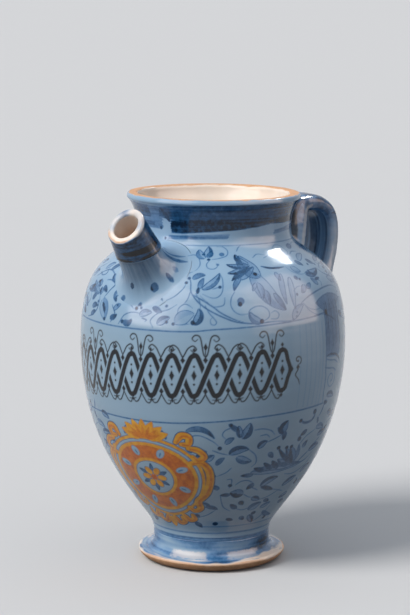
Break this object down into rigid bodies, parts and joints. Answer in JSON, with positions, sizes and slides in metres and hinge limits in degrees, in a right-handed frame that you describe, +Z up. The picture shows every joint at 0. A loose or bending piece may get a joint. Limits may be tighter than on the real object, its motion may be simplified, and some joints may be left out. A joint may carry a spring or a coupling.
{
  "type": "spouted pharmacy jar",
  "caption": "Footed ovoid tin-glazed jar with a flared rim, a short upright spout luted to the shoulder and a strap handle from neck to belly.",
  "frame": {"origin": "on the jar's axis at the foot's flat underside", "axes": "+Z up the jar's axis, +Y towards the handle, spout towards -Y turned 11 degrees to +X"},
  "size_m": [0.1652, 0.1942, 0.231],
  "materials": {
    "body_glaze": "glossy tin glaze with painted blue foliage, worn buff clay on the rim",
    "foot_glaze": "glossy tin glaze brushed with blue, worn buff clay on the edge",
    "handle_glaze": "glossy tin glaze with brushed blue dashes",
    "spout_glaze": "glossy tin glaze, dark blue collar, worn buff clay on the lip"
  },
  "bodies": {
    "root": {"foot": "foot_glaze", "body": "body_glaze", "handle": "handle_glaze", "spout": "spout_glaze"}
  },
  "joints": []
}
